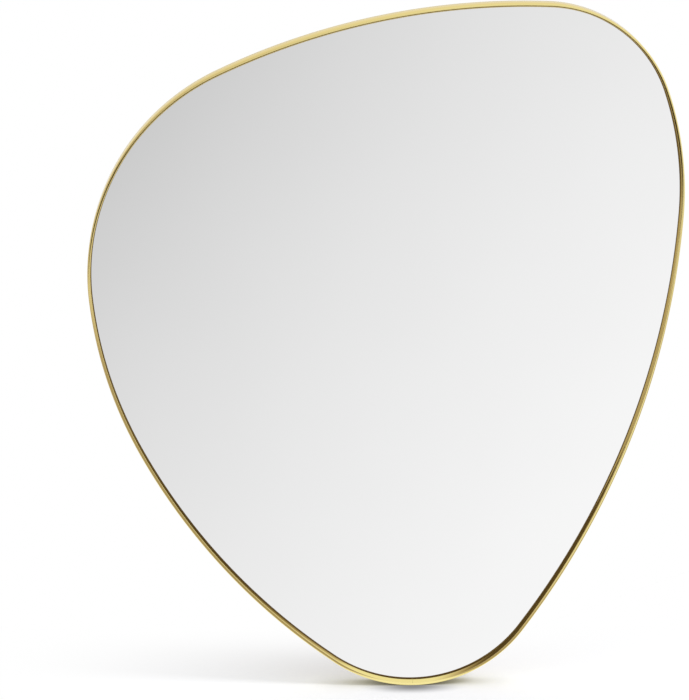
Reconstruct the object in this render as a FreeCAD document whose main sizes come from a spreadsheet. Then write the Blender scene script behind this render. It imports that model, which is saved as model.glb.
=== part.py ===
"""Framed wall mirror with a rounded pebble outline.

A slim aluminium section, bent to the outline and closed at the foot, grips the glass, a cushion sheet and the
backing board. Bowed spring clips press that stack forward against the section's bead. Two ring hangers on the
board carry the mirror on wall hooks, and rubber bumpers keep the frame off the wall.

Lengths are millimetres. +X is right, +Z is up, the glass faces -Y and the wall is the plane Y = 0.
The origin lies on the wall, midway between the two hooks that the rings hang on.
"""
import FreeCAD, Part
import math
import os
from collections import namedtuple

import Sketcher

SIZES = {
    # Outline corners: centre and radius of each, on the frame's outer face
    "foot_x": 22.0,
    "foot_z": -516.0,
    "foot_radius": 178.0,
    "right_shoulder_x": 186.0,
    "right_shoulder_z": 37.0,
    "right_shoulder_radius": 167.0,
    "left_shoulder_x": -106.0,
    "left_shoulder_z": -143.0,
    "left_shoulder_radius": 289.0,
    # Outline flanks: each leaves its shoulder at a height above or below the shoulder's centre
    "right_flank_radius": 415.0,
    "right_break_rise": 55.0,
    "left_flank_radius": 560.0,
    "left_break_drop": 31.0,
    # Outline sides: long arcs that run from corner to corner
    "top_radius": 900.0,
    "lower_left_radius": 825.0,
    "lower_right_radius": 1045.0,
    # Frame section: a rounded bead in front, a thin web and a lip behind
    "frame_depth": 30.0,
    "bead_width": 4.0,
    "bead_depth": 9.8,
    "bead_flare": 0.9,
    "nose_outer_round": 1.5,
    "nose_inner_round": 0.5,
    "web_gauge": 1.6,
    "lip_width": 9.0,
    "lip_gauge": 1.6,
    "joint_gap": 0.3,
    # Stack behind the bead, from the front
    "edge_clearance": 0.6,
    "tape_gauge": 0.8,
    "tape_setback": 0.3,
    "glass_gauge": 4.0,
    "glass_arris": 0.5,
    "film_gauge": 0.2,
    "film_margin": 1.0,
    "cushion_gauge": 1.0,
    "cushion_margin": 2.0,
    "board_gauge": 5.0,
    # Spring clips between the board and the lip
    "clip_chord": 44.0,
    "clip_width": 10.0,
    "clip_gauge": 0.5,
    "clip_inset": 4.0,
    "clip_slack": 0.05,
    # Joint plate inside the lip at the foot
    "plate_length": 70.0,
    "plate_width": 6.0,
    "plate_gauge": 2.0,
    "plate_play": 0.4,
    "joint_screw_near": 12.0,
    "joint_screw_far": 27.0,
    "joint_screw_length": 3.5,
    # Countersunk screws, all of one thread
    "thread_radius": 1.5,
    "thread_clearance": 0.05,
    "hole_clearance": 0.1,
    "head_radius": 2.75,
    "head_clearance": 0.05,
    # Ring hangers: strap, rolled eye and ring
    "hanger_half_span": 200.0,
    "strap_width": 12.0,
    "strap_length": 40.0,
    "strap_gauge": 1.5,
    "strap_end_round": 5.0,
    "eye_lift": 0.4,
    "pin_clearance": 0.06,
    "ring_wire_radius": 1.5,
    "ring_half_width": 16.0,
    "ring_shank": 6.0,
    "ring_corner": 4.0,
    "hanger_screw_near": 12.0,
    "hanger_screw_far": 31.0,
    "hanger_screw_length": 5.8,
    # Flanged nuts let into the board's front
    "nut_flange_radius": 5.0,
    "nut_flange_gauge": 0.9,
    "nut_sink": 0.1,
    "nut_barrel_radius": 2.6,
    "nut_barrel_length": 4.0,
    "nut_fit": 0.05,
    # Wall bumpers on the lip
    "bumper_radius": 4.0,
    "bumper_proud": 3.0,
    "bumper_round": 0.8,
    # A round takes at most this share of the wall that it is on
    "round_limit_share": 0.45,
    # Extra length of a cut that has to leave the solid
    "overrun": 1.0,
}

CLIP_COUNT = 8
# Places round the outline are shares of the way round it, anticlockwise from the lowest point
CLIP_START_SHARE = 0.0625
BUMPER_SHARES = (0.15, 0.39, 0.61, 0.85)

FULL_TURN = 2 * math.pi
# Edges this close to a plane lie in it
LEVEL_TOLERANCE = 1e-4

# Depths through the part, from the wall forwards
FRAME_BACK = "(-Sizes.bumper_proud)"
LIP_FRONT = "(-Sizes.bumper_proud - Sizes.lip_gauge)"
GLASS_SEAT = "(-Sizes.bumper_proud - Sizes.frame_depth + Sizes.bead_depth)"
GLASS_FACE = f"({GLASS_SEAT} + Sizes.tape_gauge)"
GLASS_BACK = f"({GLASS_FACE} + Sizes.glass_gauge)"
FILM_BACK = f"({GLASS_BACK} + Sizes.film_gauge)"
BOARD_FRONT = f"({FILM_BACK} + Sizes.cushion_gauge)"
BOARD_BACK = f"({BOARD_FRONT} + Sizes.board_gauge)"
CLIP_SPACE = f"({LIP_FRONT} - {BOARD_BACK})"

# Insets from the frame's outer face
PACK_INSET = "(Sizes.web_gauge + Sizes.edge_clearance)"
SEAT_INSET = "(Sizes.bead_width + Sizes.bead_flare)"

# Screw fits
SHANK_RADIUS = "(Sizes.thread_radius - Sizes.thread_clearance)"
HOLE_RADIUS = "(Sizes.thread_radius + Sizes.hole_clearance)"
COUNTERSINK = f"(Sizes.head_radius + Sizes.head_clearance - {HOLE_RADIUS})"

# Hanger pivot: the hooks bear on the ring's inside at the origin's height once the ring is swung up
EYE_BORE = "(Sizes.ring_wire_radius + Sizes.pin_clearance)"
EYE_RADIUS = f"({EYE_BORE} + Sizes.strap_gauge)"
EYE_HEIGHT = f"({EYE_RADIUS} + Sizes.eye_lift)"
PIVOT_Z = "(-Sizes.ring_shank - Sizes.ring_half_width + Sizes.ring_wire_radius)"
HANGER_SIDES = {"left": "(-Sizes.hanger_half_span)", "right": "Sizes.hanger_half_span"}

# Joint plate: its middle runs along an arc about the foot's centre
PLATE_OUTER = "(Sizes.foot_radius - Sizes.web_gauge - Sizes.plate_play)"
PLATE_MIDDLE = f"({PLATE_OUTER} - Sizes.plate_width / 2)"

Arc = namedtuple("Arc", "name centre radius start end")

doc = FreeCAD.newDocument("pebble_mirror")
sheet = doc.addObject("Spreadsheet::Sheet", "Sizes")
for row, (alias, number) in enumerate(SIZES.items(), start=1):
    sheet.set(f"A{row}", alias)
    sheet.set(f"B{row}", str(number))
    sheet.setAlias(f"B{row}", alias)
doc.recompute()

nodes = []


def size(expression):
    """The value of an expression in the sheet's sizes."""
    return float(sheet.evalExpression(expression))


def direction(angle):
    return FreeCAD.Vector(math.cos(angle), math.sin(angle), 0)


def side_centre(first, first_radius, second, second_radius, radius):
    """Centre of a long arc that runs anticlockwise round two circles and touches both from outside."""
    reach_first = radius - first_radius
    reach_second = radius - second_radius
    across = second - first
    span = across.Length
    along = (reach_first ** 2 - reach_second ** 2 + span ** 2) / (2 * span)
    rise = math.sqrt(reach_first ** 2 - along ** 2)
    ahead = across / span
    inwards = FreeCAD.Vector(-ahead.y, ahead.x, 0)
    return first + ahead * along + inwards * rise


def outline_arcs(inset):
    """The outline's eight tangent arcs, anticlockwise from the foot, moved inwards by the inset."""
    centres = {}
    radii = {}
    for corner in ("foot", "right_shoulder", "left_shoulder"):
        centres[corner] = FreeCAD.Vector(size(f"Sizes.{corner}_x"), size(f"Sizes.{corner}_z"), 0)
        radii[corner] = size(f"Sizes.{corner}_radius")
    for arc in ("right_flank", "left_flank", "top", "lower_left", "lower_right"):
        radii[arc] = size(f"Sizes.{arc}_radius")

    right_break = math.asin(size("Sizes.right_break_rise / Sizes.right_shoulder_radius"))
    left_break = math.pi + math.asin(size("Sizes.left_break_drop / Sizes.left_shoulder_radius"))
    for flank, shoulder, turn in (("right_flank", "right_shoulder", right_break),
                                  ("left_flank", "left_shoulder", left_break)):
        centres[flank] = centres[shoulder] - direction(turn) * (radii[flank] - radii[shoulder])
    for side, first, second in (("lower_right", "foot", "right_flank"),
                                ("top", "right_shoulder", "left_shoulder"),
                                ("lower_left", "left_flank", "foot")):
        centres[side] = side_centre(centres[first], radii[first], centres[second], radii[second], radii[side])

    names = ("foot", "lower_right", "right_flank", "right_shoulder", "top", "left_shoulder", "left_flank",
             "lower_left")
    ends = []
    for name, following in zip(names, names[1:] + names[:1]):
        outward = (centres[name] - centres[following]) / (radii[following] - radii[name])
        ends.append(math.atan2(outward.y, outward.x))
    arcs = []
    for name, start, end in zip(names, ends[-1:] + ends[:-1], ends):
        sweep = (end - start) % FULL_TURN
        arcs.append(Arc(name, centres[name], radii[name] - inset, start, start + sweep))
    return arcs


def place_on_outline(share, inset, depth):
    """Placement at a share of the way round, with its own X along the frame, Y to the wall and Z inwards."""
    arcs = outline_arcs(0)
    lengths = [arc.radius * (arc.end - arc.start) for arc in arcs]
    foot = arcs[0]
    lowest = (-math.pi / 2 - foot.start) % FULL_TURN * foot.radius
    distance = (lowest + share * sum(lengths)) % sum(lengths)
    for arc, length in zip(arcs, lengths):
        if distance <= length:
            break
        distance -= length
    angle = arc.start + distance / arc.radius
    point = arc.centre + direction(angle) * (arc.radius - inset)
    turn = math.degrees(math.atan2(-math.cos(angle), -math.sin(angle)))
    return FreeCAD.Placement(FreeCAD.Vector(point.x, depth, point.y),
                             FreeCAD.Rotation(FreeCAD.Vector(0, 1, 0), turn))


def new_body(label, node=True):
    body = doc.addObject("PartDesign::Body", label)
    body.Label = label
    if node:
        nodes.append(body)
    return body


def set_base(obj, x=None, y=None, z=None):
    """Binds the coordinates of an object's place to the sheet."""
    for axis, expression in (("x", x), ("y", y), ("z", z)):
        if expression is not None:
            obj.setExpression(f"Placement.Base.{axis}", expression)


def new_sketch(body, name, role, offset=None):
    """A sketch on one of the body's own planes, moved along the plane's normal by the offset."""
    sketch = body.newObject("Sketcher::SketchObject", f"{body.Name}_{name}")
    plane = next(item for item in body.Origin.OriginFeatures if item.Role == role)
    sketch.AttachmentSupport = [(plane, "")]
    sketch.MapMode = "FlatFace"
    if offset is not None:
        sketch.setExpression("AttachmentOffset.Base.z", offset)
    return sketch


def constrain(sketch, name, expression, kind, *refs):
    """Adds a named dimension to a sketch and binds it to the sheet."""
    index = sketch.addConstraint(Sketcher.Constraint(kind, *refs, size(expression)))
    sketch.renameConstraint(index, name)
    sketch.setExpression(f"Constraints.{name}", expression)


def add_circle(sketch, name, x, y, radius):
    circle = Part.Circle(FreeCAD.Vector(size(x), size(y), 0), FreeCAD.Vector(0, 0, 1), size(radius))
    index = sketch.addGeometry(circle)
    constrain(sketch, f"{name}_x", x, "DistanceX", -1, 1, index, 3)
    constrain(sketch, f"{name}_y", y, "DistanceY", -1, 1, index, 3)
    constrain(sketch, f"{name}_radius", radius, "Radius", index)


def add_polygon(sketch, corners):
    """A closed polygon of straight edges, each corner a pair of expressions."""
    points = [FreeCAD.Vector(size(x), size(y), 0) for x, y in corners]
    lines = []
    for point, following in zip(points, points[1:] + points[:1]):
        lines.append(sketch.addGeometry(Part.LineSegment(point, following)))
    for line, following in zip(lines, lines[1:] + lines[:1]):
        sketch.addConstraint(Sketcher.Constraint("Coincident", line, 2, following, 1))
    for line, (x, y) in zip(lines, corners):
        constrain(sketch, f"corner_{line}_x", x, "DistanceX", -1, 1, line, 1)
        constrain(sketch, f"corner_{line}_y", y, "DistanceY", -1, 1, line, 1)


def join_smoothly(sketch):
    """Makes a sketch's curves one closed chain, each tangent to the next."""
    for index in range(sketch.GeometryCount):
        following = (index + 1) % sketch.GeometryCount
        sketch.addConstraint(Sketcher.Constraint("Tangent", index, 2, following, 1))


def outline_sketch(body, name, inset="0", offset=None):
    """A sketch of the whole outline, moved inwards by the inset."""
    sketch = new_sketch(body, name, "XZ_Plane", offset)
    arcs = outline_arcs(size(inset))
    for arc in arcs:
        circle = Part.Circle(arc.centre, FreeCAD.Vector(0, 0, 1), arc.radius)
        sketch.addGeometry(Part.ArcOfCircle(circle, arc.start, arc.end))
    join_smoothly(sketch)
    for index, arc in enumerate(arcs):
        constrain(sketch, f"{arc.name}_radius", f"Sizes.{arc.name}_radius - {inset}", "Radius", index)
        if f"{arc.name}_x" in SIZES:
            constrain(sketch, f"{arc.name}_x", f"Sizes.{arc.name}_x", "DistanceX", -1, 1, index, 3)
            constrain(sketch, f"{arc.name}_z", f"Sizes.{arc.name}_z", "DistanceY", -1, 1, index, 3)
        if arc.name == "right_shoulder":
            rise = f"Sizes.right_break_rise * (1 - {inset} / Sizes.right_shoulder_radius)"
            constrain(sketch, "right_break", rise, "DistanceY", index, 3, index, 1)
        if arc.name == "left_shoulder":
            drop = f"-Sizes.left_break_drop * (1 - {inset} / Sizes.left_shoulder_radius)"
            constrain(sketch, "left_break", drop, "DistanceY", index, 3, index, 2)
    return sketch


def pad(body, sketch, length, **options):
    feature = body.newObject("PartDesign::Pad", f"{sketch.Name}_pad")
    return finish_feature(feature, sketch, length, options)


def pocket(body, sketch, length, **options):
    feature = body.newObject("PartDesign::Pocket", f"{sketch.Name}_pocket")
    before = body.Shape.Volume
    finish_feature(feature, sketch, length, options)
    if body.Shape.Volume >= before:
        raise RuntimeError(f"{feature.Name} cuts nothing")
    return feature


def finish_feature(feature, sketch, length, options):
    feature.Profile = sketch
    feature.setExpression("Length", length)
    for option, value in options.items():
        setattr(feature, option, value)
    doc.recompute()
    return feature


def revolve(body, sketch, axis, angle=None):
    """Turns a sketch about one of its own axes, a whole turn or the angle, split evenly to both sides."""
    feature = body.newObject("PartDesign::Revolution", f"{sketch.Name}_turn")
    feature.Profile = sketch
    feature.ReferenceAxis = (sketch, [axis])
    if angle is not None:
        feature.Midplane = True
        feature.setExpression("Angle", angle)
    doc.recompute()
    return feature


def edges_of(feature, test):
    return [f"Edge{number}" for number, edge in enumerate(feature.Shape.Edges, start=1) if test(edge)]


def same(first, second):
    return math.isclose(first, second, abs_tol=LEVEL_TOLERANCE)


def on_plane(axis, level):
    """A test for edges that lie in a plane across one axis of the body."""
    def test(edge):
        box = edge.BoundBox
        low, high = getattr(box, f"{axis}Min"), getattr(box, f"{axis}Max")
        return same(low, level) and same(high, level)
    return test


def round_hole(level, radius):
    """A test for round edges of one radius in a plane across the body's Y axis."""
    flat = on_plane("Y", level)

    def test(edge):
        is_circle = isinstance(edge.Curve, Part.Circle)
        return is_circle and flat(edge) and same(edge.Curve.Radius, radius)
    return test


def on_outline(level, inset):
    """A test for the edges of the outline, moved inwards, in a plane across the body's Y axis."""
    flat = on_plane("Y", level)
    radii = [arc.radius for arc in outline_arcs(inset)]

    def test(edge):
        return flat(edge) and any(same(edge.Curve.Radius, radius) for radius in radii)
    return test


def limited(radius, wall):
    """The radius of a round, kept within its share of the wall."""
    return f"min(Sizes.{radius}; Sizes.{wall} * Sizes.round_limit_share)"


def dress_edges(body, kind, base, edges, value):
    """A fillet or a chamfer on chosen edges, its size bound to the sheet."""
    feature = body.newObject(f"PartDesign::{kind}", f"{body.Name}_{kind}".lower())
    feature.Base = (base, edges)
    feature.setExpression("Radius" if kind == "Fillet" else "Size", value)
    doc.recompute()
    return feature


def group(label, pattern, places):
    """Several copies of one fastener as a single node of separate solids."""
    links = []
    for number, (x, y, z) in enumerate(places, start=1):
        link = doc.addObject("App::Link", f"{label}_{number}")
        link.LinkedObject = pattern
        set_base(link, x, y, z)
        links.append(link)
    compound = doc.addObject("Part::Compound", label)
    compound.Label = label
    compound.Links = links
    nodes.append(compound)


def joint_screw_places():
    """Sketch coordinates of the joint's screws, from the foot's centre, along the plate's middle."""
    places = []
    for reach in ("Sizes.joint_screw_near", "Sizes.joint_screw_far"):
        turn = f"({reach} / {PLATE_MIDDLE} * 180 / pi)"
        for sign in ("-", ""):
            places.append((f"({sign}{PLATE_MIDDLE} * sin({turn}))", f"(-{PLATE_MIDDLE} * cos({turn}))"))
    return places


def hanger_screw_places():
    """Sketch coordinates of the hangers' screws on the board."""
    places = []
    for side in HANGER_SIDES.values():
        for reach in ("Sizes.hanger_screw_near", "Sizes.hanger_screw_far"):
            places.append((side, f"({PIVOT_Z} - {reach})"))
    return places


def cut_sight(body):
    """Opens the bead, with its inner wall sloped so that it is wider at the glass than at its nose."""
    before = body.Shape.Volume
    seat = outline_sketch(body, "seat", SEAT_INSET, "Sizes.frame_depth - Sizes.bead_depth")
    nose = outline_sketch(body, "nose", "Sizes.bead_width", "Sizes.frame_depth")
    sight = body.newObject("PartDesign::SubtractiveLoft", f"{body.Name}_sight")
    sight.Profile = seat
    sight.Sections = [nose]
    sight.Ruled = True
    doc.recompute()
    if body.Shape.Volume >= before:
        raise RuntimeError(f"{sight.Name} cuts nothing")
    return sight


def make_frame():
    """The bent section: bead, web and lip round the whole outline, with its butt joint at the foot."""
    body = new_body("frame_rim")
    set_base(body, y=FRAME_BACK)
    pad(body, outline_sketch(body, "outside"), "Sizes.frame_depth")
    opening = outline_sketch(body, "lip_opening", "Sizes.lip_width")
    pocket(body, opening, "Sizes.frame_depth", Reversed=True)
    channel = outline_sketch(body, "channel", "Sizes.web_gauge", "Sizes.lip_gauge")
    pocket(body, channel, "Sizes.frame_depth - Sizes.lip_gauge - Sizes.bead_depth", Reversed=True)
    last = cut_sight(body)

    front = -size("Sizes.frame_depth")
    outer = edges_of(last, on_outline(front, 0))
    last = dress_edges(body, "Fillet", last, outer, limited("nose_outer_round", "bead_width"))
    inner = edges_of(last, on_outline(front, size("Sizes.bead_width")))
    dress_edges(body, "Fillet", last, inner, limited("nose_inner_round", "bead_width"))

    holes = new_sketch(body, "joint_holes", "XZ_Plane")
    for number, (x, z) in enumerate(joint_screw_places(), start=1):
        add_circle(holes, f"hole_{number}", f"Sizes.foot_x + {x}", f"Sizes.foot_z + {z}", HOLE_RADIUS)
    last = pocket(body, holes, "Sizes.lip_gauge", Reversed=True)
    dress_edges(body, "Chamfer", last, edges_of(last, round_hole(0, size(HOLE_RADIUS))), COUNTERSINK)

    joint = new_sketch(body, "joint", "XZ_Plane")
    left = "Sizes.foot_x - Sizes.joint_gap / 2"
    right = "Sizes.foot_x + Sizes.joint_gap / 2"
    low = "Sizes.foot_z - Sizes.foot_radius - Sizes.overrun"
    high = "Sizes.foot_z - Sizes.foot_radius + Sizes.lip_width + Sizes.overrun"
    add_polygon(joint, [(left, low), (right, low), (right, high), (left, high)])
    pocket(body, joint, "Sizes.frame_depth", Reversed=True)


def make_glazing_tape():
    """A thin dark seat between the bead and the glass, held back from the sight line."""
    body = new_body("glazing_tape")
    set_base(body, y=GLASS_FACE)
    pad(body, outline_sketch(body, "outside", PACK_INSET), "Sizes.tape_gauge")
    inside = outline_sketch(body, "inside", f"({SEAT_INSET} - Sizes.tape_setback)")
    pocket(body, inside, "Sizes.tape_gauge", Reversed=True)


def make_sheet(label, back, inset, gauge):
    """A flat piece of the stack, with its back face at the given depth."""
    body = new_body(label)
    set_base(body, y=back)
    return body, pad(body, outline_sketch(body, "outside", inset), gauge)


def make_glass():
    """The silvered glass, with its sharp edges arrised."""
    body, sheet_pad = make_sheet("mirror_glass", GLASS_BACK, PACK_INSET, "Sizes.glass_gauge")
    front = on_plane("Y", -size("Sizes.glass_gauge"))
    back = on_plane("Y", 0)
    rims = edges_of(sheet_pad, lambda edge: front(edge) or back(edge))
    dress_edges(body, "Chamfer", sheet_pad, rims, "Sizes.glass_arris")


def make_board():
    """The backing board, bored for the hangers' nuts with a recess for each flange in its front."""
    body, _ = make_sheet("backing_board", BOARD_BACK, PACK_INSET, "Sizes.board_gauge")
    bores = new_sketch(body, "nut_bores", "XZ_Plane")
    recess = "(Sizes.nut_flange_gauge + Sizes.nut_sink)"
    recesses = new_sketch(body, "nut_recesses", "XZ_Plane", f"Sizes.board_gauge - {recess}")
    for number, (x, z) in enumerate(hanger_screw_places(), start=1):
        add_circle(bores, f"bore_{number}", x, z, "Sizes.nut_barrel_radius + Sizes.nut_fit")
        add_circle(recesses, f"recess_{number}", x, z, "Sizes.nut_flange_radius + Sizes.nut_fit")
    pocket(body, bores, "Sizes.board_gauge", Reversed=True)
    pocket(body, recesses, recess, Reversed=True)


def make_spring_clip(number):
    """A bowed strip: its ends bear on the board and its crown on the lip."""
    body = new_body(f"spring_clip_{number}")
    share = CLIP_START_SHARE + (number - 1) / CLIP_COUNT
    body.Placement = place_on_outline(share, size("Sizes.clip_inset"), size(BOARD_BACK))

    sagitta = f"({CLIP_SPACE} - Sizes.clip_gauge - 2 * Sizes.clip_slack)"
    inner = f"((Sizes.clip_chord ^ 2 / 4 + {sagitta} ^ 2) / (2 * {sagitta}))"
    outer = f"({inner} + Sizes.clip_gauge)"
    centre = f"({CLIP_SPACE} - Sizes.clip_slack - {outer})"
    middle = FreeCAD.Vector(0, size(centre), 0)
    half_turn = math.asin(size(f"Sizes.clip_chord / 2 / {inner}"))
    start, end = math.pi / 2 - half_turn, math.pi / 2 + half_turn

    sketch = new_sketch(body, "bow", "XY_Plane")
    arcs = []
    for radius in (inner, outer):
        circle = Part.Circle(middle, FreeCAD.Vector(0, 0, 1), size(radius))
        arcs.append(sketch.addGeometry(Part.ArcOfCircle(circle, start, end)))
    inside, outside = arcs
    for point, angle in ((1, start), (2, end)):
        ends = [middle + direction(angle) * size(radius) for radius in (inner, outer)]
        line = sketch.addGeometry(Part.LineSegment(*ends))
        sketch.addConstraint(Sketcher.Constraint("Coincident", line, 1, inside, point))
        sketch.addConstraint(Sketcher.Constraint("Coincident", line, 2, outside, point))
        sketch.addConstraint(Sketcher.Constraint("PointOnObject", inside, 3, line))
    sketch.addConstraint(Sketcher.Constraint("Coincident", inside, 3, outside, 3))
    sketch.addConstraint(Sketcher.Constraint("PointOnObject", inside, 3, -2))
    constrain(sketch, "centre", centre, "DistanceY", -1, 1, inside, 3)
    constrain(sketch, "inner_radius", inner, "Radius", inside)
    constrain(sketch, "outer_radius", outer, "Radius", outside)
    constrain(sketch, "right_end", "Sizes.clip_chord / 2", "DistanceX", -1, 1, inside, 1)
    constrain(sketch, "left_end", "-Sizes.clip_chord / 2", "DistanceX", -1, 1, inside, 2)
    pad(body, sketch, "Sizes.clip_width")


def make_joint_plate():
    """A curved plate that bridges the frame's joint inside the lip, tapped for its screws."""
    body = new_body("joint_plate")
    set_base(body, "Sizes.foot_x", LIP_FRONT, "Sizes.foot_z")
    section = new_sketch(body, "section", "YZ_Plane")
    outer, inner = f"-{PLATE_OUTER}", f"(Sizes.plate_width - {PLATE_OUTER})"
    front = "-Sizes.plate_gauge"
    add_polygon(section, [("0", outer), ("0", inner), (front, inner), (front, outer)])
    revolve(body, section, "H_Axis", f"Sizes.plate_length / {PLATE_MIDDLE} * 180 / pi")
    holes = new_sketch(body, "holes", "XZ_Plane")
    for number, (x, z) in enumerate(joint_screw_places(), start=1):
        add_circle(holes, f"hole_{number}", x, z, "Sizes.thread_radius")
    pocket(body, holes, "Sizes.plate_gauge", Reversed=True)


def make_screw(label, length):
    """A countersunk screw that points along -Y, with the top of its head at its own origin."""
    body = new_body(label, node=False)
    half = new_sketch(body, "half", "YZ_Plane")
    neck = f"({SHANK_RADIUS} - Sizes.head_radius)"
    tip = f"(-{length})"
    add_polygon(half, [("0", "0"), ("0", "Sizes.head_radius"), (neck, SHANK_RADIUS), (tip, SHANK_RADIUS),
                       (tip, "0")])
    revolve(body, half, "H_Axis")
    return body


def make_nut():
    """A flanged nut that points along +Y, with the front of its flange at its own origin."""
    body = new_body("nut_pattern", node=False)
    half = new_sketch(body, "half", "YZ_Plane")
    flange, barrel = "Sizes.nut_flange_radius", "Sizes.nut_barrel_radius"
    shoulder, end = "Sizes.nut_flange_gauge", "Sizes.nut_barrel_length"
    bore = "Sizes.thread_radius"
    add_polygon(half, [("0", bore), ("0", flange), (shoulder, flange), (shoulder, barrel), (end, barrel),
                       (end, bore)])
    revolve(body, half, "H_Axis")
    return body


def make_fasteners():
    """The screws of the frame's joint and the hangers' screws with their nuts, each kind one node."""
    joint = [(f"Sizes.foot_x + {x}", FRAME_BACK, f"Sizes.foot_z + {z}") for x, z in joint_screw_places()]
    group("joint_screws", make_screw("joint_screw_pattern", "Sizes.joint_screw_length"), joint)
    head = f"{BOARD_BACK} + Sizes.strap_gauge"
    screws = [(x, head, z) for x, z in hanger_screw_places()]
    group("hanger_screws", make_screw("hanger_screw_pattern", "Sizes.hanger_screw_length"), screws)
    seat = f"{BOARD_FRONT} + Sizes.nut_sink"
    group("hanger_nuts", make_nut(), [(x, seat, z) for x, z in hanger_screw_places()])


def make_strap(side):
    """A flat strap with two countersunk holes, rolled into an eye at its upper end."""
    body = new_body(f"hanger_strap_{side}")
    set_base(body, HANGER_SIDES[side], BOARD_BACK, PIVOT_Z)
    half = "Sizes.strap_width / 2"
    plate = new_sketch(body, "plate", "XZ_Plane")
    foot = "-Sizes.strap_length"
    add_polygon(plate, [(f"-{half}", foot), (half, foot), (half, "0"), (f"-{half}", "0")])
    strap = pad(body, plate, "Sizes.strap_gauge", Reversed=True)
    at_foot = on_plane("Z", size(foot))
    ends = edges_of(strap, lambda edge: at_foot(edge) and same(edge.BoundBox.XLength, 0))
    dress_edges(body, "Fillet", strap, ends, limited("strap_end_round", "strap_width"))

    roll = new_sketch(body, "roll", "YZ_Plane")
    add_circle(roll, "roll", EYE_HEIGHT, "0", EYE_RADIUS)
    pad(body, roll, "Sizes.strap_width", Midplane=True)
    bore = new_sketch(body, "bore", "YZ_Plane")
    add_circle(bore, "bore", EYE_HEIGHT, "0", EYE_BORE)
    pocket(body, bore, "Sizes.strap_width", Midplane=True)

    holes = new_sketch(body, "holes", "XZ_Plane")
    for number, reach in enumerate(("Sizes.hanger_screw_near", "Sizes.hanger_screw_far"), start=1):
        add_circle(holes, f"hole_{number}", "0", f"-{reach}", HOLE_RADIUS)
    last = pocket(body, holes, "Sizes.strap_gauge")
    rims = edges_of(last, round_hole(size("Sizes.strap_gauge"), size(HOLE_RADIUS)))
    dress_edges(body, "Chamfer", last, rims, COUNTERSINK)


def make_ring(side):
    """A D-shaped wire ring: its straight bar turns in the strap's eye and its bow hangs below."""
    body = new_body(f"hanger_ring_{side}")
    set_base(body, HANGER_SIDES[side], f"{BOARD_BACK} + {EYE_HEIGHT}", PIVOT_Z)
    half, corner, shank = size("Sizes.ring_half_width"), size("Sizes.ring_corner"), size("Sizes.ring_shank")
    normal = FreeCAD.Vector(0, 0, 1)

    def line(first, second):
        return path.addGeometry(Part.LineSegment(FreeCAD.Vector(*first), FreeCAD.Vector(*second)))

    def arc(centre, radius, start, end):
        circle = Part.Circle(FreeCAD.Vector(*centre), normal, radius)
        return path.addGeometry(Part.ArcOfCircle(circle, start, end))

    path = new_sketch(body, "path", "XZ_Plane")
    left_bar = line((0, 0), (corner - half, 0))
    left_corner = arc((corner - half, -corner), corner, math.pi / 2, math.pi)
    left_side = line((-half, -corner), (-half, -shank))
    bow = arc((0, -shank), half, math.pi, FULL_TURN)
    right_side = line((half, -shank), (half, -corner))
    right_corner = arc((half - corner, -corner), corner, 0, math.pi / 2)
    line((half - corner, 0), (0, 0))
    join_smoothly(path)
    path.addConstraint(Sketcher.Constraint("Coincident", left_bar, 1, -1, 1))
    path.addConstraint(Sketcher.Constraint("Horizontal", left_bar))
    path.addConstraint(Sketcher.Constraint("Vertical", left_side))
    path.addConstraint(Sketcher.Constraint("Vertical", right_side))
    path.addConstraint(Sketcher.Constraint("PointOnObject", bow, 3, -2))
    constrain(path, "left_corner", "Sizes.ring_corner", "Radius", left_corner)
    constrain(path, "right_corner", "Sizes.ring_corner", "Radius", right_corner)
    constrain(path, "bow", "Sizes.ring_half_width", "Radius", bow)
    constrain(path, "shank", "-Sizes.ring_shank", "DistanceY", -1, 1, bow, 3)

    wire = new_sketch(body, "wire", "YZ_Plane")
    add_circle(wire, "wire", "0", "0", "Sizes.ring_wire_radius")
    ring = body.newObject("PartDesign::AdditivePipe", f"{body.Name}_sweep")
    ring.Profile = wire
    ring.Spine = path
    doc.recompute()


def make_bumper(number, share):
    """A round rubber stud on the lip, with its face on the wall."""
    body = new_body(f"wall_bumper_{number}")
    body.Placement = place_on_outline(share, size("Sizes.lip_width / 2"), size(FRAME_BACK))
    disc = new_sketch(body, "disc", "XZ_Plane")
    add_circle(disc, "disc", "0", "0", "Sizes.bumper_radius")
    stud = pad(body, disc, "Sizes.bumper_proud", Reversed=True)
    rim = edges_of(stud, round_hole(size("Sizes.bumper_proud"), size("Sizes.bumper_radius")))
    dress_edges(body, "Fillet", stud, rim, limited("bumper_round", "bumper_proud"))


def make_all():
    make_frame()
    make_glazing_tape()
    make_glass()
    film_inset = f"({PACK_INSET} + Sizes.film_margin)"
    make_sheet("safety_film", FILM_BACK, film_inset, "Sizes.film_gauge")
    cushion_inset = f"({PACK_INSET} + Sizes.cushion_margin)"
    make_sheet("cushion_sheet", BOARD_FRONT, cushion_inset, "Sizes.cushion_gauge")
    make_board()
    for number in range(1, CLIP_COUNT + 1):
        make_spring_clip(number)
    make_joint_plate()
    make_fasteners()
    for side in HANGER_SIDES:
        make_strap(side)
        make_ring(side)
    for number, share in enumerate(BUMPER_SHARES, start=1):
        make_bumper(number, share)
    doc.recompute()


def check_all():
    """Stops before anything is written if a feature failed or a piece isn't a sound solid."""
    for item in doc.Objects:
        if any(state in ("Invalid", "Error") for state in item.State):
            raise RuntimeError(f"{item.Name}: {item.State}")
        if item.isDerivedFrom("Sketcher::SketchObject") and not item.FullyConstrained:
            raise RuntimeError(f"{item.Name} isn't fully constrained")
    for node in nodes:
        if node.Shape.isNull() or not node.Shape.isValid() or not node.Shape.Solids:
            raise RuntimeError(f"{node.Label} isn't a sound solid")


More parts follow.
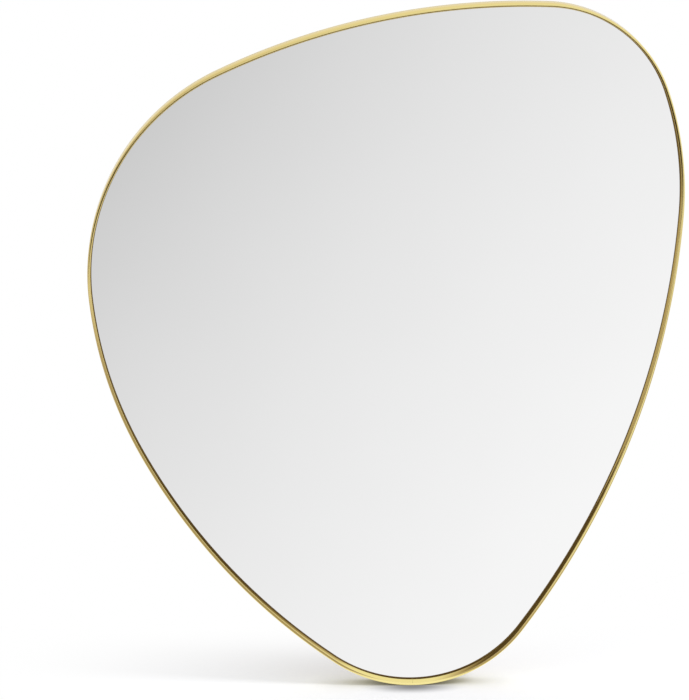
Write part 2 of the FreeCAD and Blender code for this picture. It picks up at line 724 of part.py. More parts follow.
make_all()
check_all()
os.makedirs("parts", exist_ok=True)
for node in nodes:
    node.Shape.exportStep(f"parts/{node.Label}.step")
    print(f"{node.Label}: {len(node.Shape.Solids)} solid, {node.Shape.Volume:.0f} mm3")
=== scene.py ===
"""Looks of a framed wall mirror with a rounded pebble outline.

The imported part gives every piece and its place. Here the bent rim and the screws get finer meshes, every
other piece keeps its solid and gets its finish, and a plain white studio with one soft sun is set up
around them.
"""

import logging
import math
from collections.abc import Iterator
from dataclasses import dataclass, field
from enum import Enum
from functools import partial
from typing import NamedTuple

import bmesh
import bpy
from mathutils import Matrix, Vector


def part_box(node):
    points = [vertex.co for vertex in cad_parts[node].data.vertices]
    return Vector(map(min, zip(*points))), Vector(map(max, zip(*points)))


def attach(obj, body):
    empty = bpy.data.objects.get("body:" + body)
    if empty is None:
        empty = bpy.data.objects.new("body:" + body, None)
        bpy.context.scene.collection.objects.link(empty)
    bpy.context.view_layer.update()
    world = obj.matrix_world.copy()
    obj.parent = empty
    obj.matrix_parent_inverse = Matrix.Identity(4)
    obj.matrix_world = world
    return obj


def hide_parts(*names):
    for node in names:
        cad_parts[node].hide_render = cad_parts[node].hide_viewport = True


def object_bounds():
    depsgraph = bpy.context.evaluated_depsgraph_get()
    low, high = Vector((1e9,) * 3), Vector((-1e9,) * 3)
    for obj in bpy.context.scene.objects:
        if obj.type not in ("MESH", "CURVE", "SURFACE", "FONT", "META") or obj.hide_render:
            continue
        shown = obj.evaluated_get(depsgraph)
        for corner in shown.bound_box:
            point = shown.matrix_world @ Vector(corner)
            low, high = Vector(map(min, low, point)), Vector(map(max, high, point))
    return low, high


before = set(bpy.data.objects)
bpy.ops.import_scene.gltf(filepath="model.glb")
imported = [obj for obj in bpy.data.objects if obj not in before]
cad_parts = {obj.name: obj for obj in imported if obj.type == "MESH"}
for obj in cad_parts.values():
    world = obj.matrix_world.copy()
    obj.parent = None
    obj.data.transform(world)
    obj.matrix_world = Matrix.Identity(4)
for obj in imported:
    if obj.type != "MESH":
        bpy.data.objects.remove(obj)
cad_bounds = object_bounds()

LOG = logging.getLogger("pebble_mirror")
MM = 0.001
RIM_UV = "along_and_across"
# The rigid body that the new pieces ride on
PANEL = "panel"
WHITE = "#ffffff"
BLACK = "#000000"
# Edges that turn by less than this many degrees are shaded smooth
SMOOTH_BELOW = 35.0
# The bars of a cross recess are this many degrees apart
QUARTER_TURN = 90.0
# Blender's noise seldom leaves this span
NOISE_SPAN = (0.3, 0.7)
# Settings of the nodes that are used most
SMOOTH_STEP = {"interpolation_type": "SMOOTHSTEP"}
COLOURS = {"data_type": "RGBA"}


class Slot(Enum):
    """The record's material slots for the new pieces, which nothing here reads."""

    RIM = "brass_tone_aluminium"
    HARDWARE = "zinc_plated_steel"


def linear(hex_colour: str) -> tuple[float, float, float, float]:
    """Turns an sRGB colour to linear light.

    Args:
        hex_colour: Six hex digits after a hash sign.

    Returns:
        Linear red, green and blue, and an alpha of one.
    """
    channels = [int(hex_colour[place:place + 2], 16) / 255 for place in (1, 3, 5)]
    # The sRGB curve: straight close to black, and a power above
    light = [c / 12.92 if c <= 0.04045 else ((c + 0.055) / 1.055) ** 2.4 for c in channels]
    return (*light, 1.0)


def add_node(tree: bpy.types.NodeTree, kind: str, settings: dict | None = None,
             inputs: dict | tuple = ()) -> bpy.types.Node:
    """Adds a shader node with its settings and links.

    Args:
        tree: The material's or world's node tree.
        kind: The node's type name without its ShaderNode prefix.
        settings: The node's own properties.
        inputs: What each input takes, by its name or in order: a value, an output socket, or a node for its
            first output.

    Returns:
        The new node.
    """
    node = tree.nodes.new(f"ShaderNode{kind}")
    for name, value in (settings or {}).items():
        setattr(node, name, value)
    for key, value in inputs.items() if isinstance(inputs, dict) else enumerate(inputs):
        named = (socket for socket in node.inputs if socket.enabled and socket.name == key)
        target = node.inputs[key] if isinstance(key, int) else next(named)
        if isinstance(value, bpy.types.Node):
            value = next(socket for socket in value.outputs if socket.enabled)
        if isinstance(value, bpy.types.NodeSocket):
            tree.links.new(value, target)
        else:
            target.default_value = value
    return node


def add_speckle(tree: bpy.types.NodeTree, pitch: tuple[float, float, float], detail: float = 2.0,
                uv_map: str = "") -> bpy.types.Node:
    """Adds a noise whose features have a real size, with its coordinates.

    Args:
        tree: The material's node tree.
        pitch: Size of a feature along each axis, in millimetres.
        detail: How many finer layers the noise has.
        uv_map: The UV map to follow in place of the object's own coordinates.

    Returns:
        The noise, stretched to run from about 0 to 1.
    """
    if uv_map:
        place = add_node(tree, "UVMap", {"uv_map": uv_map}).outputs["UV"]
    else:
        place = add_node(tree, "TexCoord").outputs["Object"]
    mapped = add_node(tree, "Mapping", inputs={"Vector": place, "Scale": [1 / (size * MM) for size in pitch]})
    noise = add_node(tree, "TexNoise", inputs={"Vector": mapped, "Scale": 1.0, "Detail": detail})
    return add_node(tree, "MapRange", inputs=(noise.outputs["Fac"], *NOISE_SPAN))


def new_material(name: str) -> bpy.types.Material:
    """Makes an empty node material.

    Args:
        name: The material's name.

    Returns:
        The material, with no nodes.
    """
    material = bpy.data.materials.new(name)
    material.use_nodes = True
    material.node_tree.nodes.clear()
    return material


class Finish:
    """A surface finish that makes its own material."""

    name: str

    def surface(self, tree: bpy.types.NodeTree) -> dict:
        """Adds the finish's patterns and gives the inputs of its shader."""
        raise NotImplementedError

    def material(self) -> bpy.types.Material:
        """Makes the finish's material once.

        Returns:
            The new material, or the one made before.
        """
        made = bpy.data.materials.get(self.name)
        if made:
            return made
        material = new_material(self.name)
        tree = material.node_tree
        shader = add_node(tree, "BsdfPrincipled", inputs=self.surface(tree))
        add_node(tree, "OutputMaterial", inputs={"Surface": shader})
        return material


def grained(tree: bpy.types.NodeTree, patterns: tuple[bpy.types.Node, ...], tones: tuple[str, str],
            gloss: tuple[float, float], depth: float) -> dict:
    """Adds the two tones, the uneven gloss and the relief of a grained surface.

    Args:
        tree: The material's node tree.
        patterns: Where the second tone shows, where the surface is rougher, and its height.
        tones: The two tones.
        gloss: The least and the most roughness.
        depth: The relief's depth in millimetres.

    Returns:
        The inputs of the shader.
    """
    tone, rough, height = patterns
    first, second = (linear(colour) for colour in tones)
    return {
        "Base Color": add_node(tree, "Mix", COLOURS, {"Factor": tone, "A": first, "B": second}),
        "Roughness": add_node(tree, "MapRange", inputs=(rough, 0.0, 1.0, *gloss)),
        "Normal": add_node(tree, "Bump", inputs={"Height": height, "Distance": depth * MM}),
    }


@dataclass(frozen=True)
class BrushedBrassTone(Finish):
    """Aluminium brushed along its length and anodised to a pale brass tone.

    It gives the eye a soft warm metal: highlights drawn out across the brushing, fine lines along it, and
    dark and bright bands where the surroundings change.
    """

    name: str = "brushed_brass_tone_aluminium"
    pale: str = "#faeda5"
    deep: str = "#f5e59a"
    edge_tint: str = "#f7edc4"
    gloss: tuple[float, float] = (0.05, 0.09)
    anisotropy: float = 0.3
    # The real lines are about 0.1 mm apart, too fine to show, so they are drawn ten times as coarse
    line_pitch: float = 1.0
    line_length: float = 90.0
    line_detail: float = 4.0
    line_share: float = 0.6
    line_depth: float = 0.0015
    cloud_pitch: float = 60.0
    cloud_detail: float = 1.0

    def surface(self, tree: bpy.types.NodeTree) -> dict:
        """Adds the brushing.

        Args:
            tree: The material's node tree.

        Returns:
            The inputs of the shader.
        """
        pitch = (self.line_length, self.line_pitch, self.line_pitch)
        lines = add_speckle(tree, pitch, self.line_detail, RIM_UV)
        clouds = add_speckle(tree, (self.cloud_pitch,) * 3, self.cloud_detail)
        tone = add_node(tree, "Mix", inputs={"Factor": self.line_share, "A": clouds, "B": lines})
        return {
            **grained(tree, (tone, lines, lines), (self.deep, self.pale), self.gloss, self.line_depth),
            "Metallic": 1.0,
            "Specular Tint": linear(self.edge_tint),
            "Anisotropic": self.anisotropy,
            "Tangent": add_node(tree, "Tangent", {"direction_type": "UV_MAP", "uv_map": RIM_UV}),
        }


@dataclass(frozen=True)
class SilveredGlass(Finish):
    """Float glass silvered on its back.

    It gives the eye a sharp, neutral reflection with the faintest change of tone where the silver lies
    thinner.
    """

    name: str = "silvered_float_glass"
    bright: str = "#f9f9f9"
    thin: str = "#f8f8f8"
    cloud_pitch: float = 180.0

    def surface(self, tree: bpy.types.NodeTree) -> dict:
        """Adds the silver's clouds.

        Args:
            tree: The material's node tree.

        Returns:
            The inputs of the shader.
        """
        clouds = add_speckle(tree, (self.cloud_pitch,) * 3)
        colour = add_node(tree, "Mix", COLOURS,
                          {"Factor": clouds, "A": linear(self.thin), "B": linear(self.bright)})
        return {"Base Color": colour, "Metallic": 1.0, "Roughness": 0.0}


@dataclass(frozen=True)
class RawFibreboard(Finish):
    """Medium-density fibreboard, sanded and left raw.

    It gives the eye a matt brown with short pale and dark fibres and soft clouds of tone.
    """

    name: str = "raw_fibreboard"
    pale: str = "#c8a67c"
    dark: str = "#a5835a"
    gloss: tuple[float, float] = (0.72, 0.9)
    # Fibres are about 0.3 mm wide, drawn wider so that they show
    fibre_pitch: float = 1.6
    fibre_length: float = 6.0
    fibre_detail: float = 5.0
    fibre_depth: float = 0.05
    fibre_share: float = 0.6
    upright_share: float = 0.5
    cloud_pitch: float = 70.0
    cloud_detail: float = 3.0

    def surface(self, tree: bpy.types.NodeTree) -> dict:
        """Adds the fibres, which lie level and upright.

        Args:
            tree: The material's node tree.

        Returns:
            The inputs of the shader.
        """
        pitch = (self.fibre_length, self.fibre_pitch, self.fibre_pitch)
        level = add_speckle(tree, pitch, self.fibre_detail)
        upright = add_speckle(tree, pitch[::-1], self.fibre_detail)
        fibres = add_node(tree, "Mix", inputs={"Factor": self.upright_share, "A": level, "B": upright})
        clouds = add_speckle(tree, (self.cloud_pitch,) * 3, self.cloud_detail)
        tone = add_node(tree, "Mix", inputs={"Factor": self.fibre_share, "A": clouds, "B": fibres})
        return grained(tree, (tone, level, fibres), (self.dark, self.pale), self.gloss, self.fibre_depth)


@dataclass(frozen=True)
class CloudedMetal(Finish):
    """Plated or heat-treated steel, whose surface carries soft patches of two tones.

    It gives the eye a plain metal that changes slightly in colour and gloss from patch to patch.
    """

    name: str
    tones: tuple[str, str]
    gloss: tuple[float, float]
    patch_pitch: float
    grain_pitch: float
    grain_depth: float = 0.01
    grain_detail: float = 3.0

    def surface(self, tree: bpy.types.NodeTree) -> dict:
        """Adds the patches and the grain.

        Args:
            tree: The material's node tree.

        Returns:
            The inputs of the shader.
        """
        patches = add_speckle(tree, (self.patch_pitch,) * 3)
        grain = add_speckle(tree, (self.grain_pitch,) * 3, self.grain_detail)
        shared = grained(tree, (patches, grain, grain), self.tones, self.gloss, self.grain_depth)
        return {**shared, "Metallic": 1.0}


@dataclass(frozen=True)
class MattMoulded(Finish):
    """A soft moulded or foamed piece with a matt, finely pitted skin.

    It gives the eye an even colour that breaks up into fine grain close to.
    """

    name: str
    tones: tuple[str, str]
    gloss: tuple[float, float]
    grain_pitch: float
    grain_depth: float = 0.03
    grain_detail: float = 4.0

    def surface(self, tree: bpy.types.NodeTree) -> dict:
        """Adds the grain, and gives the inputs of the shader."""
        grain = add_speckle(tree, (self.grain_pitch,) * 3, self.grain_detail)
        return grained(tree, (grain, grain, grain), self.tones, self.gloss, self.grain_depth)


# Bright zinc plate on steel: a cool pale metal with a faint blue and straw cast
ZINC_PLATE = CloudedMetal("bright_zinc_plate", tones=("#c3c9d0", "#d3d0c6"), gloss=(0.22, 0.36),
                          patch_pitch=3.0, grain_pitch=1.0)
# Cold-rolled spring steel, lightly blued by its heat treatment: a dark grey metal with patches of blue
SPRING_STEEL = CloudedMetal("blued_spring_steel", tones=("#7c838b", "#5f6c80"), gloss=(0.25, 0.4),
                            patch_pitch=12.0, grain_pitch=0.8)
# Moulded rubber: a soft dark grey with no shine
BUMPER_RUBBER = MattMoulded("moulded_grey_rubber", tones=("#3a3a3a", "#4a4a49"), gloss=(0.67, 0.81),
                            grain_pitch=0.8)
# Closed-cell foam tape: a matt black line under the bead
GLAZING_TAPE = MattMoulded("black_foam_tape", tones=("#141413", "#1d1c1b"), gloss=(0.77, 0.91),
                           grain_pitch=0.6)
# Closed-cell foam sheet: a matt white with small cells
CUSHION_FOAM = MattMoulded("white_closed_cell_foam", tones=("#e0dfd9", "#efeee9"), gloss=(0.72, 0.86),
                           grain_pitch=1.5, grain_depth=0.05)
# Stretched plastic film: a pale sheet with a low shine and a slow ripple
BACKING_FILM = MattMoulded("pale_plastic_film", tones=("#d6d9d8", "#e3e5e3"), gloss=(0.27, 0.41),
                           grain_pitch=25.0)


class Arc(NamedTuple):
    """One arc of the outline: its centre and radius in millimetres, and its angles in radians."""

    centre: Vector
    radius: float
    start: float
    sweep: float


class Station(NamedTuple):
    """A place on the outline, with the arc that it is on and its distance along the rim."""

    centre: Vector
    radius: float
    angle: float
    distance: float

    def point(self, inset: float, depth: float) -> Vector:
        """Gives a point of the rim here.

        Args:
            inset: Distance inwards from the rim's outer face, in millimetres.
            depth: Place along Y, in millimetres.

        Returns:
            The point in the part's frame, in metres.
        """
        reach = self.radius - inset
        x = self.centre.x + reach * math.cos(self.angle)
        z = self.centre.y + reach * math.sin(self.angle)
        return Vector((x, depth, z)) * MM


@dataclass(frozen=True)
class PebbleOutline:
    """The rim's outer outline: three corners, two flanks and three long sides, all tangent arcs.

    Each corner is its centre's X and Z and its radius, in millimetres.
    """

    foot: tuple[float, float, float] = (22.0, -516.0, 178.0)
    right_shoulder: tuple[float, float, float] = (186.0, 37.0, 167.0)
    left_shoulder: tuple[float, float, float] = (-106.0, -143.0, 289.0)
    right_flank_radius: float = 415.0
    right_break_rise: float = 55.0
    left_flank_radius: float = 560.0
    left_break_drop: float = 31.0
    top_radius: float = 900.0
    lower_left_radius: float = 825.0
    lower_right_radius: float = 1045.0

    @staticmethod
    def flank_centre(corner: tuple[float, float, float], radius: float, angle: float) -> Vector:
        """Gives the centre of a flank that leaves a shoulder at an angle in radians."""
        outwards = Vector((math.cos(angle), math.sin(angle)))
        return Vector(corner[:2]) - outwards * (radius - corner[2])

    @staticmethod
    def side_centre(first: tuple[Vector, float], second: tuple[Vector, float], radius: float) -> Vector:
        """Gives the centre of a long side that runs anticlockwise from one arc to another.

        Args:
            first: Centre and radius of the arc that it leaves.
            second: Centre and radius of the arc that it reaches.
            radius: The side's own radius.

        Returns:
            The side's centre.
        """
        reach_first, reach_second = radius - first[1], radius - second[1]
        across = second[0] - first[0]
        span = across.length
        along = (reach_first ** 2 - reach_second ** 2 + span ** 2) / (2 * span)
        rise = math.sqrt(reach_first ** 2 - along ** 2)
        ahead = across / span
        return first[0] + ahead * along + Vector((-ahead.y, ahead.x)) * rise

    def arcs(self) -> list[Arc]:
        """Joins the corners, flanks and long sides.

        Returns:
            The eight arcs, anticlockwise from the foot.
        """
        corners = (self.foot, self.right_shoulder, self.left_shoulder)
        foot, right, left = ((Vector(corner[:2]), corner[2]) for corner in corners)
        right_break = math.asin(self.right_break_rise / right[1])
        left_break = math.pi + math.asin(self.left_break_drop / left[1])
        right_flank = (self.flank_centre(self.right_shoulder, self.right_flank_radius, right_break),
                       self.right_flank_radius)
        left_flank = (self.flank_centre(self.left_shoulder, self.left_flank_radius, left_break),
                      self.left_flank_radius)
        lower_right = (self.side_centre(foot, right_flank, self.lower_right_radius), self.lower_right_radius)
        top = (self.side_centre(right, left, self.top_radius), self.top_radius)
        lower_left = (self.side_centre(left_flank, foot, self.lower_left_radius), self.lower_left_radius)
        chain = [foot, lower_right, right_flank, right, top, left, left_flank, lower_left]
        ends = []
        for (centre, radius), (next_centre, next_radius) in zip(chain, chain[1:] + chain[:1]):
            outwards = (centre - next_centre) / (next_radius - radius)
            ends.append(math.atan2(outwards.y, outwards.x))
        return [Arc(centre, radius, start, (end - start) % math.tau)
                for (centre, radius), start, end in zip(chain, ends[-1:] + ends[:-1], ends)]

    def stations(self, spacing: float, gap: float) -> Iterator[Station]:
        """Walks once round the outline, anticlockwise from the joint at its lowest point.

        Args:
            spacing: Greatest distance between two stations, in millimetres.
            gap: Width of the joint, in millimetres.

        Yields:
            The stations in order.
        """
        foot, *others = self.arcs()
        lowest = (-math.pi / 2 - foot.start) % math.tau
        half_gap = gap / 2 / foot.radius
        first = Arc(foot.centre, foot.radius, foot.start + lowest + half_gap, foot.sweep - lowest - half_gap)
        last = Arc(foot.centre, foot.radius, foot.start, lowest - half_gap)
        distance = 0.0
        for arc in (first, *others, last):
            steps = math.ceil(arc.radius * arc.sweep / spacing)
            for step in range(steps):
                turn = arc.sweep * step / steps
                yield Station(arc.centre, arc.radius, arc.start + turn, distance + arc.radius * turn)
            distance += arc.radius * arc.sweep
        yield Station(last.centre, last.radius, last.start + last.sweep, distance)


def mesh_object(name: str, shape: bmesh.types.BMesh) -> bpy.types.Object:
    """Turns a built shape to an object of the scene.

    Args:
        name: The piece's name.
        shape: The shape, which is freed.

    Returns:
        The object, at the origin.
    """
    bmesh.ops.recalc_face_normals(shape, faces=shape.faces)
    mesh = bpy.data.meshes.new(name)
    shape.to_mesh(mesh)
    shape.free()
    smooth(mesh)
    piece = bpy.data.objects.new(name, mesh)
    bpy.context.scene.collection.objects.link(piece)
    return piece


def smooth(mesh: bpy.types.Mesh) -> None:
    """Shades a mesh smooth except across its sharp edges."""
    mesh.shade_smooth()
    mesh.set_sharp_from_angle(angle=math.radians(SMOOTH_BELOW))


def cut(piece: bpy.types.Object, cutters: list[bpy.types.Object]) -> None:
    """Cuts solids out of a piece and removes them from the scene.

    Args:
        piece: The piece to cut.
        cutters: The solids to take away.
    """
    for cutter in cutters:
        modifier = piece.modifiers.new("cut", "BOOLEAN")
        modifier.operation = "DIFFERENCE"
        modifier.solver = "EXACT"
        modifier.object = cutter
    graph = bpy.context.evaluated_depsgraph_get()
    result = bpy.data.meshes.new_from_object(piece.evaluated_get(graph))
    piece.modifiers.clear()
    old, piece.data = piece.data, result
    name = old.name
    bpy.data.meshes.remove(old)
    result.name = name
    smooth(result)
    for cutter in cutters:
        bpy.data.meshes.remove(cutter.data)


def turned(profile: list[tuple[float, float]], places: list[Vector], segments: int) -> bmesh.types.BMesh:
    """Makes closed solids of revolution about Y.

    Args:
        profile: Radius and place along Y of each step, in millimetres, from one end to the other.
        places: Where each copy goes, in millimetres.
        segments: Sides of the round.

    Returns:
        The shape, in metres.
    """
    shape = bmesh.new()
    for place in places:
        rings = []
        for radius, depth in profile:
            ring = []
            for side in range(segments):
                angle = math.tau * side / segments
                offset = Vector((radius * math.cos(angle), depth, radius * math.sin(angle)))
                ring.append(shape.verts.new((place + offset) * MM))
            rings.append(ring)
        for lower, upper in zip(rings, rings[1:]):
            for side in range(segments):
                following = (side + 1) % segments
                shape.faces.new((lower[side], lower[following], upper[following], upper[side]))
        shape.faces.new(rings[0])
        shape.faces.new(rings[-1])
    return shape


def dress_nodes(finishes: dict[str, Finish]) -> dict[str, str]:
    """Gives CAD nodes their finishes.

    Args:
        finishes: The finish of each node.

    Returns:
        The name of each node's finish.
    """
    for name, finish in finishes.items():
        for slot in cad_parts[name].material_slots:
            slot.material = finish.material()
    return {name: finish.name for name, finish in finishes.items()}


def set_in_place(piece: bpy.types.Object, finish: Finish, node: str) -> dict[str, str]:
    """Gives a new piece its finish and its place in the part.

    Args:
        piece: The new piece.
        finish: Its finish.
        node: The CAD node that it replaces.

    Returns:
        The name of the piece's finish.
    """
    piece.data.materials.clear()
    piece.data.materials.append(finish.material())
    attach(piece, PANEL)
    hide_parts(node)
    return {piece.name: finish.name}


@dataclass(frozen=True)
class ScrewSizes:
    """Sizes of the countersunk screws, in millimetres."""

    head_radius: float = 2.75
    shank_radius: float = 1.45
    edge: float = 0.12
    hole_radius: float = 1.6
    head_clearance: float = 0.05
    recess_length: float = 3.0
    recess_width: float = 0.75
    recess_depth: float = 1.1
    segments: int = 40


@dataclass
class Rim:
    """The bent section round the mirror, as a fine sweep of its profile along the outline."""

    outline: PebbleOutline
    screws: ScrewSizes
    joint_places: list[Vector]
    finish: Finish = BrushedBrassTone()
    bead_width: float = 4.0
    bead_depth: float = 9.8
    bead_flare: float = 0.9
    nose_outer_round: float = 1.5
    nose_inner_round: float = 0.5
    web_gauge: float = 1.6
    lip_width: float = 9.0
    lip_gauge: float = 1.6
    joint_gap: float = 0.1
    edge_round: float = 0.3
    nose_steps: int = 10
    edge_steps: int = 4
    station_spacing: float = 2.5
    overrun: float = 1.0
    piece: bpy.types.Object = field(init=False)

    def profile(self, depth: float) -> list[tuple[float, float]]:
        """Gives the section's outline.

        Args:
            depth: Depth of the section from its back to its nose, in millimetres.

        Returns:
            Inset and height above the back of each point, in order round the section.
        """
        seat = depth - self.bead_depth
        corners = [
            (0.0, 0.0, self.edge_round, self.edge_steps),
            (0.0, depth, self.nose_outer_round, self.nose_steps),
            (self.bead_width, depth, self.nose_inner_round, self.edge_steps),
            (self.bead_width + self.bead_flare, seat, 0.0, 0),
            (self.web_gauge, seat, 0.0, 0),
            (self.web_gauge, self.lip_gauge, 0.0, 0),
            (self.lip_width, self.lip_gauge, self.edge_round, self.edge_steps),
            (self.lip_width, 0.0, self.edge_round, self.edge_steps),
        ]
        points = []
        for place, (inset, height, radius, steps) in enumerate(corners):
            corner = Vector((inset, height))
            arriving = (corner - Vector(corners[place - 1][:2])).normalized()
            leaving = (Vector(corners[(place + 1) % len(corners)][:2]) - corner).normalized()
            bend = arriving.angle(leaving)
            inwards = (leaving - arriving * arriving.dot(leaving)).normalized()
            centre = corner - arriving * radius * math.tan(bend / 2) + inwards * radius
            for step in range(steps + 1):
                turn = bend * step / max(steps, 1)
                points.append(tuple(centre + (arriving * math.sin(turn) - inwards * math.cos(turn)) * radius))
        return points

    def build(self) -> None:
        """Sweeps the section round the outline and cuts the joint's screw holes."""
        low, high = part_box("frame_rim")
        back, depth = high.y / MM, (high.y - low.y) / MM
        profile = self.profile(depth)
        across = [0.0]
        for first, second in zip(profile, profile[1:] + profile[:1]):
            across.append(across[-1] + (Vector(second) - Vector(first)).length)
        stations = list(self.outline.stations(self.station_spacing, self.joint_gap))

        shape = bmesh.new()
        uv = shape.loops.layers.uv.new(RIM_UV)
        rows = [[shape.verts.new(station.point(inset, back - height)) for inset, height in profile]
                for station in stations]
        for number in range(len(stations) - 1):
            along = (stations[number].distance, stations[number + 1].distance)
            for side in range(len(profile)):
                following = (side + 1) % len(profile)
                corners = (rows[number][side], rows[number + 1][side], rows[number + 1][following],
                           rows[number][following])
                spots = ((along[0], across[side]), (along[1], across[side]), (along[1], across[side + 1]),
                         (along[0], across[side + 1]))
                face = shape.faces.new(corners)
                for loop, spot in zip(face.loops, spots):
                    loop[uv].uv = Vector(spot) * MM
        for row in (rows[0], rows[-1]):
            shape.faces.new(row)
        self.piece = mesh_object("rim", shape)
        self.cut_holes(back)

    def cut_holes(self, back: float) -> None:
        """Cuts the countersunk holes of the joint's screws.

        Args:
            back: Place of the section's back along Y, in millimetres.
        """
        mouth = self.screws.head_radius + self.screws.head_clearance
        neck = mouth - self.screws.hole_radius
        profile = [(mouth + self.overrun, self.overrun), (self.screws.hole_radius, -neck),
                   (self.screws.hole_radius, -self.lip_gauge - self.overrun)]
        places = [Vector((place.x, back, place.z)) for place in self.joint_places]
        cut(self.piece, [mesh_object("rim_holes", turned(profile, places, self.screws.segments))])

    def dress(self) -> dict[str, str]:
        """Gives the rim its finish and its place in the part."""
        return set_in_place(self.piece, self.finish, "frame_rim")


@dataclass
class ScrewSet:
    """A set of countersunk screws with cross recesses, in place of one fastener node."""

    name: str
    node: str
    sizes: ScrewSizes
    places: list[Vector]
    length: float
    clocking: float
    finish: Finish = ZINC_PLATE
    piece: bpy.types.Object = field(init=False)

    def recess(self, turn: float) -> bpy.types.Object:
        """Makes one bar of every screw's cross recess.

        Args:
            turn: How far the bar is turned from the first one, in degrees.

        Returns:
            The bars of the whole set as one cutter.
        """
        shape = bmesh.new()
        size = Vector((self.sizes.recess_length, 2 * self.sizes.recess_depth, self.sizes.recess_width)) * MM
        for number, place in enumerate(self.places):
            angle = math.radians(turn + self.clocking * number)
            turned_bar = Matrix.Rotation(angle, 4, "Y") @ Matrix.Diagonal((*size, 1))
            bmesh.ops.create_cube(shape, size=1.0, matrix=Matrix.Translation(place * MM) @ turned_bar)
        return mesh_object(f"{self.name}_recess", shape)

    def build(self) -> None:
        """Turns the screws and cuts their recesses."""
        sizes = self.sizes
        neck = sizes.head_radius - sizes.shank_radius
        profile = [(sizes.head_radius - sizes.edge, 0.0),
                   (sizes.head_radius, -sizes.edge / 2),
                   (sizes.shank_radius, -neck - sizes.edge / 2),
                   (sizes.shank_radius, -self.length + sizes.edge),
                   (sizes.shank_radius - sizes.edge, -self.length)]
        self.piece = mesh_object(self.name, turned(profile, self.places, sizes.segments))
        cut(self.piece, [self.recess(0.0), self.recess(QUARTER_TURN)])

    def dress(self) -> dict[str, str]:
        """Gives the screws their finish and their place in the part."""
        return set_in_place(self.piece, self.finish, self.node)


@dataclass
class RimJoint:
    """The closing joint of the rim at the foot: its plate and where its screws go."""

    outline: PebbleOutline
    finish: Finish = ZINC_PLATE
    web_gauge: float = 1.6
    plate_play: float = 0.4
    plate_width: float = 6.0
    screw_reaches: tuple[float, ...] = (-27.0, -12.0, 12.0, 27.0)
    screw_length: float = 3.5
    screw_clocking: float = 37.0

    def places(self) -> list[Vector]:
        """Finds where the screws go, on the rim's back.

        Returns:
            The tops of the screw heads, in millimetres.
        """
        x, z, radius = self.outline.foot
        middle = radius - self.web_gauge - self.plate_play - self.plate_width / 2
        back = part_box("frame_rim")[1].y / MM
        return [Vector((x + middle * math.sin(reach / middle), back, z - middle * math.cos(reach / middle)))
                for reach in self.screw_reaches]

    def dress(self) -> dict[str, str]:
        """Gives the plate its finish."""
        return dress_nodes({"joint_plate": self.finish})


@dataclass
class GlassStack:
    """The glass and the sheets behind it, from the bead to the board."""

    tape: Finish = GLAZING_TAPE
    glass: Finish = SilveredGlass()
    film: Finish = BACKING_FILM
    cushion: Finish = CUSHION_FOAM
    board: Finish = RawFibreboard()

    def dress(self) -> dict[str, str]:
        """Gives each sheet its finish."""
        return dress_nodes({"glazing_tape": self.tape, "mirror_glass": self.glass, "safety_film": self.film,
                            "cushion_sheet": self.cushion, "backing_board": self.board})


@dataclass
class Hangers:
    """The two ring hangers on the board, with their straps, rings, screws and nuts."""

    finish: Finish = ZINC_PLATE
    half_span: float = 200.0
    pivot: float = -20.5
    screw_reaches: tuple[float, ...] = (12.0, 31.0)
    strap_gauge: float = 1.5
    screw_length: float = 5.8
    screw_clocking: float = 23.0

    def places(self) -> list[Vector]:
        """Finds where the screws go, flush with the straps.

        Returns:
            The tops of the screw heads, in millimetres.
        """
        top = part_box("backing_board")[1].y / MM + self.strap_gauge
        return [Vector((side * self.half_span, top, self.pivot - reach))
                for side in (-1, 1) for reach in self.screw_reaches]

    def dress(self) -> dict[str, str]:
        """Gives the straps, rings and nuts their finish."""
        pairs = [f"hanger_{piece}_{side}" for piece in ("strap", "ring") for side in ("left", "right")]
        return dress_nodes(dict.fromkeys([*pairs, "hanger_nuts"], self.finish))


@dataclass
class BackFittings:
    """The spring clips in the channel and the bumpers on the lip."""

    clip: Finish = SPRING_STEEL
    clip_count: int = 8
    bumper: Finish = BUMPER_RUBBER
    bumper_count: int = 4

    def dress(self) -> dict[str, str]:
        """Gives the clips and bumpers their finish.

        Returns:
            The name of each node's finish.
        """
        clips = [f"spring_clip_{number + 1}" for number in range(self.clip_count)]
        bumpers = [f"wall_bumper_{number + 1}" for number in range(self.bumper_count)]
        return dress_nodes({**dict.fromkeys(clips, self.clip), **dict.fromkeys(bumpers, self.bumper)})


@dataclass(frozen=True)
class Viewpoint:
    """Where the picture is taken from. Lengths are millimetres and angles degrees."""

    aim: tuple[float, float, float] = (-67.6, -33.0, -240.0)
    distance: float = 4488.0
    azimuth: float = -2.6
    elevation: float = 13.5
    lens: float = 180.0
    sensor: float = 36.0
    farthest: float = 200000.0

    def place(self) -> None:
        """Makes the camera and gives it to the scene."""
        azimuth, elevation = math.radians(self.azimuth), math.radians(self.elevation)
        level = math.cos(elevation)
        outwards = Vector((math.sin(azimuth) * level, -math.cos(azimuth) * level, math.sin(elevation)))
        data = bpy.data.cameras.new("camera")
        data.lens = self.lens
        data.sensor_width = self.sensor
        data.clip_end = self.farthest * MM
        camera = bpy.data.objects.new("camera", data)
        camera.location = Vector(self.aim) * MM + outwards * self.distance * MM
        camera.rotation_euler = (-outwards).to_track_quat("-Z", "Y").to_euler()
        bpy.context.scene.collection.objects.link(camera)
        bpy.context.scene.camera = camera


